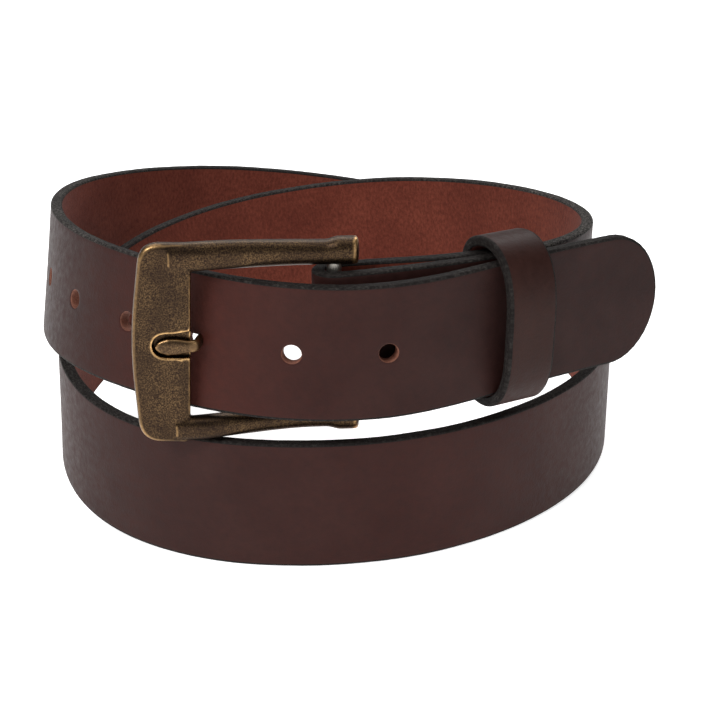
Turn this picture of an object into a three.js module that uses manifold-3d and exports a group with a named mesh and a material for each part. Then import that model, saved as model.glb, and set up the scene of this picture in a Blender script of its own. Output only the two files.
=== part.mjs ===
// Leather belt with a heel-bar buckle, coiled in two turns and fastened.
// Millimetres, +Z up. The belt stands on the lower edge of its strap and the buckle faces -Y.
// The strap is one piece of leather: the punched tail, two turns, the billet, and the flap that
// folds back round the hinge bar. The tail is its own solid so that it can bend away.

import * as THREE from 'three';
import { mergeVertices } from 'three/addons/utils/BufferGeometryUtils.js';
import Module from 'manifold-3d';

const wasm = await Module();
wasm.setup();

// ---- Strap
const STRAP_WIDTH = 38.1;
const STRAP_THICKNESS = 3.5;
const EDGE_BEVEL = 0.7;
const STRAP_STEP = 7.5;
const TIP_LENGTH = 16;
const TAIL_JOINT_AT = 176;
const JOINT_GAP = 0.4;

// The strap's lie, from the tip to the hinge bar: poles of a uniform cubic B-spline.
// Each row is x, y, z of the middle line in mm, and the lean of the strap's face in degrees.
const STRAP_POLES = [
  [163, 84, 65, -1],
  [76, 37, 68.3, -2],
  [41.5, 17, 67.3, -1],
  [10, 0.5, 64.2, 0],
  [-30, -1.6, 65.7, -3],
  [-76, 28, 66.5, -16],
  [-96, 64.5, 64.5, -10],
  [-101.5, 118, 59.5, -1],
  [-70, 170.5, 51.5, 1],
  [-10, 190, 42.5, 1],
  [43, 174, 34, 0],
  [75, 137, 27, 0],
  [84, 83.5, 21, 0],
  [66, 40, 19.05, 0],
  [21, 4, 19.05, 0],
  [-36, -1, 19.05, 0],
  [-77, 22, 19.05, 0],
  [-96, 59, 26, -3],
  [-88.5, 107, 36.5, -1],
  [-53, 142, 46, 0],
  [11.5, 147.5, 54.5, 1],
  [60.5, 108, 60.5, 1],
  [73, 58, 65, 1],
  [51, 24, 67.3, 0],
  [-6.5, 3, 66.7, 0],
  [-61, -2, 66.7, 0],
];

// ---- Holes in the strap
const HOLE_COUNT = 7;
const HOLE_PITCH = 25.4;
const HOLE_DIAMETER = 5.2;
const HOLE_FACETS = 7;
const FIRST_HOLE_AT = 87;
const USED_HOLE = 2;
const USED_HOLE_AT = 139.8;
const USED_HOLE_LENGTH = 7.8;
const USED_HOLE_DIAMETER = 6.2;

// ---- Fold round the hinge bar, and the flap behind the billet
const FOLD_RADIUS = 4.2;
const PLY_GAP = 0.3;
const FLAP_LENGTH = 64;
const FLAP_STEP = 5;
const FLAP_CLOSES_AT = 44;
const FOLD_STEPS = 10;
const SLOT_WIDTH = 8.4;
const SLOT_REACH = 9;

// ---- Belt screws that close the fold
const SCREW_FROM_BAR = 49;
const SCREW_SPACING = 20;
const SCREW_HEAD_DIAMETER = 9;
const SCREW_HEAD_THICKNESS = 1;
const SCREW_HEAD_CHAMFER = 0.8;
const SCREW_CLEARANCE = 0.3;
const BARREL_DIAMETER = 5;
const BARREL_BORE = 3.4;
const SHANK_DIAMETER = 2.8;
const DRIVER_SLOT_WIDTH = 1.1;
const DRIVER_SLOT_DEPTH = 0.5;
const NUT_ROOF = 0.2;
const SHANK_SHORT_OF_FACE = 1;

// ---- Buckle. Its own axes: X from the plate to the bar's far side, -Y out of the belt, Z up,
// with the origin at the middle of the hinge bar.
const BUCKLE_TURN = THREE.MathUtils.degToRad(4);
const PLATE_LEFT = -54;
const PLATE_RIGHT = -38.6;
const PLATE_HEIGHT = 56.6;
const PLATE_FRONT = -5.6;
const PLATE_THICKNESS = 3.7;
const PLATE_BEVEL = 0.8;
const PLATE_CORNER = 5.5;
const PLATE_BULGE = 2;
const PLATE_LEAN = THREE.MathUtils.degToRad(2.5);
const NOTCH_DEPTH = 10.2;
const NOTCH_HEIGHT = 7.6;
const NOTCH_TAPER = 0.4;
const NOTCH_POCKET = 2.4;
const OPENING_HEIGHT = 43;
const ARM_HEIGHT = 5;
const ARM_THICKNESS = 4.6;
const ARM_ROOT = 5;
const BOSS_RADIUS = 3.3;
const BOSS_REACH = 5.9;
const BOSS_RISE = 0.6;
const BOSS_TAPER = 0.9;
const BAR_DIAMETER = 4;
const BAR_LENGTH = 50;
const BAR_CLEARANCE = 0.3;

// ---- Prong
const PRONG_THICKNESS = 2;
const PRONG_EYE_RADIUS = 4;
const PRONG_EYE_WIDTH = 6.8;
const PRONG_SHANK_WIDTH = 3.2;
const PRONG_PADDLE_WIDTH = 4.8;
const PRONG_DROOP = THREE.MathUtils.degToRad(1);
const PRONG_TIP = PLATE_RIGHT - NOTCH_DEPTH + 0.6;
const PRONG_SEAT = PLATE_FRONT + NOTCH_POCKET - BAR_CLEARANCE - PRONG_THICKNESS / 2;

// The prong's middle line from the bar, behind the tail, up through the hole and into the notch.
const PRONG_LINE = [
  [1, PRONG_THICKNESS / 2 - PRONG_EYE_RADIUS],
  [-10, -2.4],
  [-20, -0.2],
  [-27.6, 2.6],
  [-32.4, 3.7],
  [-35.1, 2.4],
  [-36.2, -0.4],
  [-36.7, -2.2],
  [-37.1, PRONG_SEAT + 0.8],
  [-38.2, PRONG_SEAT],
  [-41, PRONG_SEAT],
  [PRONG_TIP, PRONG_SEAT],
];

// Half widths of the prong seen face-on, from its tip to its eye.
const PRONG_HALF_WIDTHS = [
  [PRONG_TIP, 0.5],
  [PRONG_TIP + 1.2, 0.35 * PRONG_PADDLE_WIDTH],
  [PRONG_TIP + 3.4, 0.5 * PRONG_PADDLE_WIDTH],
  [PRONG_TIP + 6, 0.48 * PRONG_PADDLE_WIDTH],
  [PRONG_TIP + 9, 0.5 * PRONG_SHANK_WIDTH],
  [-8, 0.5 * PRONG_SHANK_WIDTH],
  [-3, 0.5 * PRONG_EYE_WIDTH],
  [3, 0.5 * PRONG_EYE_WIDTH],
];

// ---- Keeper
const KEEPER_FROM_BAR = 48.7;
const KEEPER_WIDTH = 15.2;
const KEEPER_LEATHER = 2.8;
const KEEPER_MIDDLE = 1.3;
const KEEPER_FRONT_SLACK = 4.8;
const KEEPER_BACK_SLACK = 2.2;
const KEEPER_HEADROOM = 2.6;
const KEEPER_FRONT_POWER = 3.4;
const KEEPER_BACK_POWER = 9;
const KEEPER_FACETS = 44;
const KEEPER_SEAM = 0.5;
const STAPLE_WIRE = 1;
const STAPLE_SPAN = 9;
const STAPLE_LEG = 2;
const STAPLE_OFFSET = 3.6;

// ---- Materials
const GRAIN = new THREE.MeshStandardMaterial({ color: 0x47332f, roughness: 0.55, metalness: 0 });
const KEEPER_GRAIN = new THREE.MeshStandardMaterial({ color: 0x3c2824, roughness: 0.5, metalness: 0 });
const ANTIQUE_BRASS = new THREE.MeshStandardMaterial({ color: 0x6b5230, roughness: 0.4, metalness: 1 });
const STEEL = new THREE.MeshStandardMaterial({ color: 0x8a857c, roughness: 0.35, metalness: 1 });

const belt = new THREE.Group();

// ---- Solids

function solidFrom(geometry) {
  const bare = geometry.clone();
  bare.deleteAttribute('normal');
  bare.deleteAttribute('uv');
  const merged = mergeVertices(bare, 1e-4);
  return new wasm.Manifold(new wasm.Mesh({
    numProp: 3,
    vertProperties: new Float32Array(merged.attributes.position.array),
    triVerts: new Uint32Array(merged.index.array),
  }));
}

function geometryFrom(solid) {
  const mesh = solid.getMesh();
  const geometry = new THREE.BufferGeometry();
  geometry.setAttribute('position', new THREE.BufferAttribute(mesh.vertProperties, 3));
  geometry.setIndex(new THREE.BufferAttribute(mesh.triVerts, 1));
  geometry.computeVertexNormals();
  return geometry;
}

function addPart(parent, name, geometry, material) {
  const mesh = new THREE.Mesh(geometry, material);
  mesh.name = name;
  parent.add(mesh);
  return mesh;
}

// A prism that stands on the XY plane's outline, centred on Z.
function uprightPrism(shape, height, curveSegments = 12) {
  const options = { depth: height, bevelEnabled: false, curveSegments };
  return new THREE.ExtrudeGeometry(shape, options).translate(0, 0, -height / 2);
}

// The outline of a band of constant thickness along a smooth line in the XY plane.
function bandShape(points, thickness, samples) {
  const line = new THREE.CatmullRomCurve3(points.map(([x, y]) => new THREE.Vector3(x, y, 0)));
  const near = [];
  const far = [];
  for (let i = 0; i <= samples; i += 1) {
    const t = i / samples;
    const point = line.getPoint(t);
    const along = line.getTangent(t);
    const side = new THREE.Vector3(-along.y, along.x, 0).multiplyScalar(thickness / 2);
    near.push(new THREE.Vector2(point.x + side.x, point.y + side.y));
    far.unshift(new THREE.Vector2(point.x - side.x, point.y - side.y));
  }
  return new THREE.Shape([...near, ...far]);
}

// ---- The strap's course

function splinePoint(poles, u) {
  const spans = poles.length - 3;
  const first = Math.min(Math.floor(u), spans - 1);
  const t = u - first;
  const weights = [
    (1 - t) ** 3 / 6,
    (3 * t ** 3 - 6 * t ** 2 + 4) / 6,
    (-3 * t ** 3 + 3 * t ** 2 + 3 * t + 1) / 6,
    t ** 3 / 6,
  ];
  return [0, 1, 2, 3].map((k) => weights.reduce((sum, w, i) => sum + w * poles[first + i][k], 0));
}

// Arc length along the spline, sampled finely enough to be turned round.
function lengthTable(poles, samplesPerSpan) {
  const count = (poles.length - 3) * samplesPerSpan;
  const table = [{ u: 0, s: 0 }];
  let last = splinePoint(poles, 0);
  for (let i = 1; i <= count; i += 1) {
    const u = i / samplesPerSpan;
    const point = splinePoint(poles, u);
    const step = Math.hypot(point[0] - last[0], point[1] - last[1], point[2] - last[2]);
    table.push({ u, s: table[i - 1].s + step });
    last = point;
  }
  return table;
}

const LENGTHS = lengthTable(STRAP_POLES, 24);
const BAR_AT = LENGTHS[LENGTHS.length - 1].s;
const FLAP_AT = BAR_AT + Math.PI * FOLD_RADIUS;
const STRAP_END_AT = FLAP_AT + FLAP_LENGTH;

function splineAtLength(s) {
  const clamped = Math.min(Math.max(s, 0), BAR_AT);
  const next = Math.max(1, LENGTHS.findIndex((row) => row.s >= clamped));
  const a = LENGTHS[next - 1];
  const b = LENGTHS[next];
  const u = a.u + ((b.u - a.u) * (clamped - a.s)) / (b.s - a.s);
  const [x, y, z, lean] = splinePoint(STRAP_POLES, u);
  return { centre: new THREE.Vector3(x, y, z), lean: THREE.MathUtils.degToRad(lean) };
}

// Axes of the strap where its middle line runs along the given direction.
function axesAlong(along, lean) {
  const up = new THREE.Vector3(0, 0, 1);
  const level = up.clone().addScaledVector(along, -up.dot(along)).normalize();
  const side = new THREE.Vector3().crossVectors(level, along);
  return {
    across: level.clone().multiplyScalar(Math.cos(lean)).addScaledVector(side, Math.sin(lean)),
    out: side.clone().multiplyScalar(Math.cos(lean)).addScaledVector(level, -Math.sin(lean)),
  };
}

// Distance of the flap's middle line behind the billet's: wide round the bar, then closed up.
function flapSetback(d) {
  const closed = STRAP_THICKNESS + PLY_GAP;
  const t = Math.min(d / FLAP_CLOSES_AT, 1);
  return closed + (2 * FOLD_RADIUS - closed) * (1 - t * t * (3 - 2 * t));
}

function middleLine(s) {
  if (s <= BAR_AT) {
    return splineAtLength(s);
  }
  const billet = Math.max(BAR_AT - Math.max(s - FLAP_AT, 0), 0);
  const here = splineAtLength(billet);
  const before = splineAtLength(billet - 1).centre;
  const along = here.centre.clone().sub(before).normalize();
  const { out } = axesAlong(along, 0);
  if (s >= FLAP_AT) {
    return { centre: here.centre.clone().addScaledVector(out, -flapSetback(s - FLAP_AT)), lean: 0 };
  }
  const turn = (s - BAR_AT) / FOLD_RADIUS;
  const centre = here.centre.clone()
    .addScaledVector(out, FOLD_RADIUS * (Math.cos(turn) - 1))
    .addScaledVector(along, FOLD_RADIUS * Math.sin(turn));
  return { centre, lean: 0 };
}

function strapFrame(s) {
  const reach = 0.25;
  const from = Math.max(s - reach, 0);
  const to = Math.min(s + reach, STRAP_END_AT);
  const { centre, lean } = middleLine(s);
  const along = middleLine(to).centre.sub(middleLine(from).centre).normalize();
  return { centre, along, ...axesAlong(along, lean) };
}

// Share of the full width left at a distance from the rounded tip.
function tipNarrowing(s) {
  const t = Math.min(s / TIP_LENGTH, 1);
  return Math.sqrt(1 - (1 - t) ** 2);
}

function strapSection() {
  const halfT = STRAP_THICKNESS / 2;
  const halfW = STRAP_WIDTH / 2;
  const shape = new THREE.Shape();
  shape.moveTo(-halfT + EDGE_BEVEL, -halfW);
  shape.lineTo(halfT - EDGE_BEVEL, -halfW);
  shape.lineTo(halfT, -halfW + EDGE_BEVEL);
  shape.lineTo(halfT, halfW - EDGE_BEVEL);
  shape.lineTo(halfT - EDGE_BEVEL, halfW);
  shape.lineTo(-halfT + EDGE_BEVEL, halfW);
  shape.lineTo(-halfT, halfW - EDGE_BEVEL);
  shape.lineTo(-halfT, -halfW + EDGE_BEVEL);
  shape.closePath();
  return shape;
}

// A straight blank of the strap's section, with one slice per station, bent along the course.
function bentStrap(stations) {
  const slices = stations.length - 1;
  const options = { depth: slices, steps: slices, bevelEnabled: false };
  const blank = new THREE.ExtrudeGeometry(strapSection(), options);
  const positions = blank.attributes.position;
  const frames = stations.map(strapFrame);
  for (let i = 0; i < positions.count; i += 1) {
    const slice = Math.round(positions.getZ(i));
    const { centre, across, out } = frames[slice];
    const width = tipNarrowing(stations[slice]);
    const point = centre.clone()
      .addScaledVector(out, positions.getX(i))
      .addScaledVector(across, positions.getY(i) * width);
    positions.setXYZ(i, point.x, point.y, point.z);
  }
  return blank;
}

function evenStations(from, to, step) {
  const count = Math.ceil((to - from) / step);
  return Array.from({ length: count + 1 }, (_, i) => from + ((to - from) * i) / count);
}

// Axes that stand on the strap's face: X along the strap, Y down its width, Z out of the belt.
function faceBasis({ along, across, out }) {
  return new THREE.Matrix4().makeBasis(along, across.clone().negate(), out);
}

function placedOnStrap(geometry, s, acrossOffset = 0) {
  const here = strapFrame(s);
  const origin = here.centre.clone().addScaledVector(here.across, acrossOffset);
  return geometry.clone().applyMatrix4(faceBasis(here).setPosition(origin));
}

// ---- Holes, slot and screw holes as cutting tools

function punch(s, length, diameter) {
  const radius = diameter / 2;
  const half = length / 2 - radius;
  const shape = new THREE.Shape();
  shape.absarc(half, 0, radius, -Math.PI / 2, Math.PI / 2, false);
  shape.absarc(-half, 0, radius, Math.PI / 2, (3 * Math.PI) / 2, false);
  return solidFrom(placedOnStrap(uprightPrism(shape, 3 * STRAP_THICKNESS, HOLE_FACETS), s));
}

// Every hole's place, length and diameter; the used one is pulled long and wide.
function holes() {
  const even = Array.from({ length: HOLE_COUNT }, (_, i) => (
    [FIRST_HOLE_AT + i * HOLE_PITCH, HOLE_DIAMETER, HOLE_DIAMETER]
  ));
  even[USED_HOLE] = [USED_HOLE_AT, USED_HOLE_LENGTH, USED_HOLE_DIAMETER];
  return even;
}

function punched(leather, low, high) {
  return holes()
    .filter(([s]) => s > low && s < high)
    .reduce((left, hole) => left.subtract(punch(...hole)), leather);
}

function foldSlot() {
  const end = strapFrame(BAR_AT);
  const reachLeft = FOLD_RADIUS + STRAP_THICKNESS;
  const depth = 4 * FOLD_RADIUS;
  const box = new THREE.BoxGeometry(reachLeft + SLOT_REACH, SLOT_WIDTH, depth);
  const origin = end.centre.clone()
    .addScaledVector(end.out, -FOLD_RADIUS)
    .addScaledVector(end.along, (reachLeft - SLOT_REACH) / 2);
  return solidFrom(box.applyMatrix4(faceBasis(end).setPosition(origin)));
}

function screwHole(side) {
  const radius = BARREL_DIAMETER / 2 + SCREW_CLEARANCE;
  const reach = 6 * STRAP_THICKNESS;
  const drill = new THREE.CylinderGeometry(radius, radius, reach, 16).rotateX(Math.PI / 2);
  return solidFrom(placedOnStrap(drill, BAR_AT - SCREW_FROM_BAR, (side * SCREW_SPACING) / 2));
}

// ---- Strap and tail

function makeTail() {
  const tip = [0.01, 0.06, 0.14, 0.28, 0.48, 0.72, 1].map((share) => share * TIP_LENGTH);
  const rest = evenStations(TIP_LENGTH, TAIL_JOINT_AT - JOINT_GAP / 2, STRAP_STEP).slice(1);
  const tail = punched(solidFrom(bentStrap([...tip, ...rest])), 0, TAIL_JOINT_AT);
  addPart(belt, 'strap_tail', geometryFrom(tail), GRAIN);
}

function makeStrap() {
  const coil = evenStations(TAIL_JOINT_AT + JOINT_GAP / 2, BAR_AT, STRAP_STEP);
  const fold = evenStations(BAR_AT, FLAP_AT, (FLAP_AT - BAR_AT) / FOLD_STEPS).slice(1);
  const flap = evenStations(FLAP_AT, STRAP_END_AT, FLAP_STEP).slice(1);
  const strap = punched(solidFrom(bentStrap([...coil, ...fold, ...flap])), TAIL_JOINT_AT, BAR_AT)
    .subtract(foldSlot())
    .subtract(screwHole(1))
    .subtract(screwHole(-1));
  addPart(belt, 'strap', geometryFrom(strap), GRAIN);
}

// ---- Screws: the barrel nut's head lies on the billet's face, the screw's head on the flap's

function turned(outline) {
  const points = outline.map(([r, h]) => new THREE.Vector2(r, h));
  return new THREE.LatheGeometry(points, 24).rotateX(Math.PI / 2);
}

function makeScrews() {
  const stack = 2 * STRAP_THICKNESS + PLY_GAP;
  const front = STRAP_THICKNESS / 2 + SCREW_CLEARANCE;
  const back = front - stack - 2 * SCREW_CLEARANCE;
  const headRadius = SCREW_HEAD_DIAMETER / 2;
  const crownRadius = headRadius - SCREW_HEAD_CHAMFER;
  const rimHeight = 0.6 * SCREW_HEAD_THICKNESS;
  const barrelEnd = back + SCREW_CLEARANCE;
  const nut = turned([
    [BARREL_BORE / 2, barrelEnd],
    [BARREL_DIAMETER / 2, barrelEnd],
    [BARREL_DIAMETER / 2, front],
    [headRadius, front],
    [headRadius, front + rimHeight],
    [crownRadius, front + SCREW_HEAD_THICKNESS],
    [0, front + SCREW_HEAD_THICKNESS],
    [0, front - NUT_ROOF],
    [BARREL_BORE / 2, front - NUT_ROOF],
    [BARREL_BORE / 2, barrelEnd],
  ]);
  const blank = turned([
    [0, back - SCREW_HEAD_THICKNESS],
    [crownRadius, back - SCREW_HEAD_THICKNESS],
    [headRadius, back - rimHeight],
    [headRadius, back],
    [SHANK_DIAMETER / 2, back],
    [SHANK_DIAMETER / 2, front - SHANK_SHORT_OF_FACE],
    [0, front - SHANK_SHORT_OF_FACE],
  ]);
  const slot = new THREE.BoxGeometry(2 * SCREW_HEAD_DIAMETER, DRIVER_SLOT_WIDTH, 2 * DRIVER_SLOT_DEPTH);
  slot.translate(0, 0, back - SCREW_HEAD_THICKNESS);
  const screw = geometryFrom(solidFrom(blank).subtract(solidFrom(slot)));
  const s = BAR_AT - SCREW_FROM_BAR;
  [['upper', 1], ['lower', -1]].forEach(([name, side]) => {
    const offset = (side * SCREW_SPACING) / 2;
    addPart(belt, `barrel_nut_${name}`, placedOnStrap(nut, s, offset), STEEL);
    addPart(belt, `belt_screw_${name}`, placedOnStrap(screw, s, offset), STEEL);
  });
}

// ---- Buckle

function buckleGroup() {
  const end = strapFrame(BAR_AT);
  const centre = end.centre.clone().addScaledVector(end.out, -FOLD_RADIUS);
  const group = new THREE.Group();
  group.position.copy(centre);
  group.rotation.z = BUCKLE_TURN;
  belt.add(group);
  return group;
}

// The front plate's outline: rounded outer corners, a slightly bulging outer side and the notch.
function plateShape() {
  const half = PLATE_HEIGHT / 2 - PLATE_BEVEL;
  const side = PLATE_LEFT + PLATE_BEVEL + PLATE_BULGE;
  const right = PLATE_RIGHT - PLATE_BEVEL;
  const shape = new THREE.Shape();
  shape.moveTo(right, -half);
  shape.lineTo(side + PLATE_CORNER, -half);
  shape.quadraticCurveTo(side, -half, side, -half + PLATE_CORNER);
  shape.quadraticCurveTo(side - 2 * PLATE_BULGE, 0, side, half - PLATE_CORNER);
  shape.quadraticCurveTo(side, half, side + PLATE_CORNER, half);
  shape.lineTo(right, half);
  shape.closePath();
  return shape;
}

function notchShape() {
  const half = NOTCH_HEIGHT / 2;
  const end = PLATE_RIGHT - NOTCH_DEPTH;
  const shape = new THREE.Shape();
  shape.moveTo(PLATE_RIGHT + 2, -half);
  shape.lineTo(PLATE_RIGHT + 2, half);
  const round = half - NOTCH_TAPER;
  shape.lineTo(end + half, round);
  shape.absarc(end + round, 0, round, Math.PI / 2, (3 * Math.PI) / 2, false);
  shape.closePath();
  return shape;
}

// Shapes drawn face-on: X stays, the drawing's Y becomes Z, and the depth runs towards -Y.
function faceOn(geometry, back) {
  return geometry.rotateX(Math.PI / 2).translate(0, back, 0);
}

function makePlate() {
  const bevel = {
    depth: PLATE_THICKNESS - 2 * PLATE_BEVEL,
    bevelEnabled: true,
    bevelThickness: PLATE_BEVEL,
    bevelSize: PLATE_BEVEL,
    bevelSegments: 2,
    curveSegments: 8,
  };
  const back = PLATE_FRONT + PLATE_THICKNESS - PLATE_BEVEL;
  const middle = (PLATE_LEFT + PLATE_RIGHT) / 2;
  const plate = faceOn(new THREE.ExtrudeGeometry(plateShape(), bevel), back)
    .translate(-middle, 0, 0)
    .rotateY(PLATE_LEAN)
    .translate(middle, 0, 0);
  const deep = { depth: 2 * NOTCH_POCKET, bevelEnabled: false };
  const pocket = new THREE.ExtrudeGeometry(notchShape(), deep);
  return solidFrom(plate).subtract(solidFrom(faceOn(pocket, PLATE_FRONT + NOTCH_POCKET)));
}

// One arm: a bent band from behind the plate to the boss that holds the bar and runs on past it.
function makeArm(side) {
  const lap = PLATE_FRONT + PLATE_THICKNESS / 2;
  const line = [
    [PLATE_RIGHT - ARM_ROOT, lap],
    [PLATE_RIGHT + 2, lap + 0.4],
    [-26, -1.5],
    [-12, 0],
    [BOSS_REACH - BOSS_RADIUS, 0],
  ];
  const band = solidFrom(uprightPrism(bandShape(line, ARM_THICKNESS, 14), ARM_HEIGHT));
  const root = new THREE.BoxGeometry(2 * ARM_ROOT, ARM_THICKNESS / 2, ARM_HEIGHT + 1)
    .translate(PLATE_RIGHT - ARM_ROOT / 2, lap, 0.5);
  const round = (x) => new THREE.CylinderGeometry(BOSS_RADIUS, BOSS_RADIUS, ARM_HEIGHT, 24)
    .rotateX(Math.PI / 2)
    .translate(x, 0, 0);
  const button = new THREE.CylinderGeometry(BOSS_RADIUS - BOSS_TAPER, BOSS_RADIUS, BOSS_RISE, 24)
    .rotateX(Math.PI / 2)
    .translate(BOSS_REACH - BOSS_RADIUS, 0, (ARM_HEIGHT + BOSS_RISE) / 2);
  const arm = [round(0), round(BOSS_REACH - BOSS_RADIUS), button, root]
    .reduce((whole, piece) => whole.add(solidFrom(piece)), band);
  const upright = side > 0 ? arm : arm.mirror([0, 0, 1]);
  return upright.translate([0, 0, (side * (OPENING_HEIGHT + ARM_HEIGHT)) / 2]);
}

function makeBuckle(group) {
  const holeRadius = BAR_DIAMETER / 2 + BAR_CLEARANCE;
  const holeLength = BAR_LENGTH + 2 * BAR_CLEARANCE;
  const pinHole = new THREE.CylinderGeometry(holeRadius, holeRadius, holeLength, 20).rotateX(Math.PI / 2);
  const frame = makePlate().add(makeArm(1)).add(makeArm(-1)).subtract(solidFrom(pinHole));
  addPart(group, 'buckle_frame', geometryFrom(frame), ANTIQUE_BRASS);
  const bar = new THREE.CylinderGeometry(BAR_DIAMETER / 2, BAR_DIAMETER / 2, BAR_LENGTH, 20);
  addPart(group, 'hinge_bar', bar.rotateX(Math.PI / 2), STEEL);
}

function prongFace() {
  const lower = PRONG_HALF_WIDTHS.map(([x, y]) => [x, -y]).reverse();
  return new THREE.Shape([...PRONG_HALF_WIDTHS, ...lower].map(([x, y]) => new THREE.Vector2(x, y)));
}

function makeProng(group) {
  const width = PRONG_EYE_WIDTH + 1;
  const depth = 4 * PRONG_EYE_RADIUS;
  const band = solidFrom(uprightPrism(bandShape(PRONG_LINE, PRONG_THICKNESS, 36), width));
  const blade = new THREE.ExtrudeGeometry(prongFace(), { depth, bevelEnabled: false });
  const ring = new THREE.Shape();
  ring.absarc(0, 0, PRONG_EYE_RADIUS, 0, 2 * Math.PI, false);
  const eye = solidFrom(uprightPrism(ring, PRONG_EYE_WIDTH));
  const boreRadius = BAR_DIAMETER / 2 + BAR_CLEARANCE;
  const bore = new THREE.CylinderGeometry(boreRadius, boreRadius, width + 2, 20).rotateX(Math.PI / 2);
  const prong = band.intersect(solidFrom(faceOn(blade, depth / 2))).add(eye).subtract(solidFrom(bore));
  addPart(group, 'prong', geometryFrom(prong).rotateY(-PRONG_DROOP), ANTIQUE_BRASS);
}

// ---- Keeper

// A rounded loop in the keeper's own plane: X is out of the belt, Y is up, X = 0 is the billet's middle.
// Its front is rounder than its back, which lies flat along the flap.
function keeperLoop(front, back, half) {
  const points = [];
  for (let i = 0; i < KEEPER_FACETS; i += 1) {
    const turn = (2 * Math.PI * (i + 0.5)) / KEEPER_FACETS;
    const [reach, power] = Math.cos(turn) > 0
      ? [front - KEEPER_MIDDLE, KEEPER_FRONT_POWER]
      : [KEEPER_MIDDLE - back, KEEPER_BACK_POWER];
    const rise = Math.sign(Math.sin(turn)) * Math.abs(Math.sin(turn)) ** (2 / power);
    points.push(new THREE.Vector2(KEEPER_MIDDLE + reach * Math.cos(turn), half * rise));
  }
  return new THREE.Shape(points);
}

function keeperPlace() {
  const here = strapFrame(BAR_AT - KEEPER_FROM_BAR);
  const basis = new THREE.Matrix4().makeBasis(here.out, here.across, here.along);
  return basis.setPosition(here.centre);
}

// How far the tail's middle line stands out from the billet's, at the keeper.
function tailStandOff() {
  const billet = strapFrame(BAR_AT - KEEPER_FROM_BAR);
  let best = Infinity;
  let standOff = 0;
  for (let s = 0; s < TAIL_JOINT_AT; s += 0.5) {
    const gap = strapFrame(s).centre.sub(billet.centre);
    const along = Math.abs(gap.dot(billet.along));
    if (along < best) {
      best = along;
      standOff = gap.dot(billet.out);
    }
  }
  return standOff;
}

function stapleGeometry() {
  const halfSpan = STAPLE_SPAN / 2;
  const shape = new THREE.Shape();
  shape.moveTo(0, -halfSpan);
  shape.lineTo(0, halfSpan);
  shape.lineTo(STAPLE_WIRE + STAPLE_LEG, halfSpan);
  shape.lineTo(STAPLE_WIRE + STAPLE_LEG, halfSpan - STAPLE_WIRE);
  shape.lineTo(STAPLE_WIRE, halfSpan - STAPLE_WIRE);
  shape.lineTo(STAPLE_WIRE, -halfSpan + STAPLE_WIRE);
  shape.lineTo(STAPLE_WIRE + STAPLE_LEG, -halfSpan + STAPLE_WIRE);
  shape.lineTo(STAPLE_WIRE + STAPLE_LEG, -halfSpan);
  shape.closePath();
  return uprightPrism(shape, STAPLE_WIRE);
}

function legPocket(x, z, side) {
  const size = STAPLE_WIRE + 2 * PLY_GAP;
  const box = new THREE.BoxGeometry(2 * STAPLE_LEG, size, size);
  return solidFrom(box.translate(x, (side * (STAPLE_SPAN - STAPLE_WIRE)) / 2, z));
}

function makeKeeper() {
  const front = tailStandOff() + STRAP_THICKNESS / 2 + KEEPER_FRONT_SLACK;
  const back = -1.5 * STRAP_THICKNESS - PLY_GAP - KEEPER_BACK_SLACK;
  const half = STRAP_WIDTH / 2 + KEEPER_HEADROOM;
  const backFace = back - KEEPER_LEATHER;
  const outer = keeperLoop(front + KEEPER_LEATHER, backFace, half + KEEPER_LEATHER);
  const inner = keeperLoop(front, back, half);
  const seam = new THREE.BoxGeometry(3 * KEEPER_LEATHER, KEEPER_SEAM, 2 * KEEPER_WIDTH);
  let keeper = solidFrom(uprightPrism(outer, KEEPER_WIDTH))
    .subtract(solidFrom(uprightPrism(inner, 2 * KEEPER_WIDTH)))
    .subtract(solidFrom(seam.translate(backFace, 0, 0)));
  const place = keeperPlace();
  [['left', 1], ['right', -1]].forEach(([name, side]) => {
    const z = side * STAPLE_OFFSET;
    keeper = keeper.subtract(legPocket(backFace, z, 1)).subtract(legPocket(backFace, z, -1));
    const staple = stapleGeometry().translate(backFace - STAPLE_WIRE - PLY_GAP, 0, z);
    addPart(belt, `keeper_staple_${name}`, staple.applyMatrix4(place), STEEL);
  });
  addPart(belt, 'keeper', geometryFrom(keeper).applyMatrix4(place), KEEPER_GRAIN);
}

// ---- Assembly

makeStrap();
makeTail();
makeScrews();
const buckle = buckleGroup();
makeBuckle(buckle);
makeProng(buckle);
makeKeeper();

// The origin is the middle of the belt's box, on the surface it stands on.
belt.updateMatrixWorld(true);
const box = new THREE.Box3().setFromObject(belt, true);
const middle = box.getCenter(new THREE.Vector3());
belt.position.set(-middle.x, -middle.y, 0);

export default belt;
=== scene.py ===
"""Looks of the coiled leather belt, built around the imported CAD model."""
import math

import bmesh
import bpy
import numpy as np
from mathutils import Matrix, Vector, noise


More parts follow.
